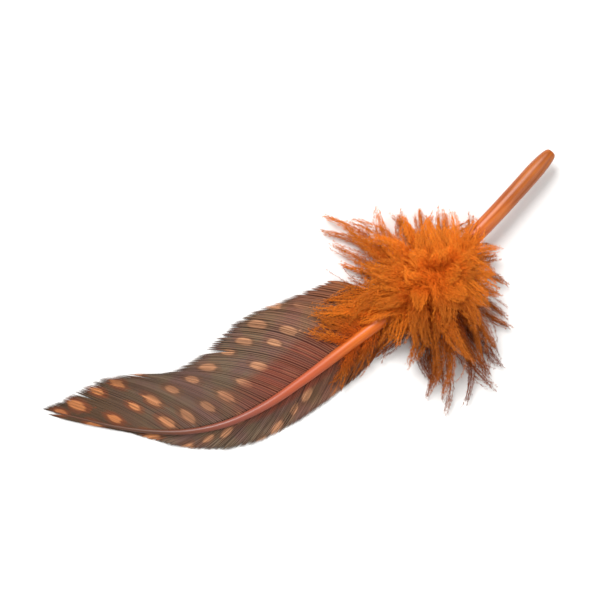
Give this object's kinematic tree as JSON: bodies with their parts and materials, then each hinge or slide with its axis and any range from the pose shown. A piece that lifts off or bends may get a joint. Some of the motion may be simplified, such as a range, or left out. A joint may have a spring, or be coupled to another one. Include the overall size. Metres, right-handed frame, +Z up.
{
  "type": "wing feather",
  "caption": "Dyed wing feather lying flat: bare quill, round tuft of down at its base, curved shaft, a wide and a narrow web, for crafts and trimming",
  "frame": {"origin": "on the surface that the feather lies on, under the middle of its bounding box", "axes": "+X from the end of the quill to the tip of the vane, +Y towards the narrow web, +Z up"},
  "size_m": [0.0956, 0.0406, 0.0112],
  "materials": {
    "vane": "matt barbs dyed brown, with rows of pale orange spots",
    "down": "soft matt down dyed orange",
    "quill": "smooth horn dyed salmon orange, half gloss"
  },
  "bodies": {
    "root": {"feather": "vane"}
  },
  "joints": []
}
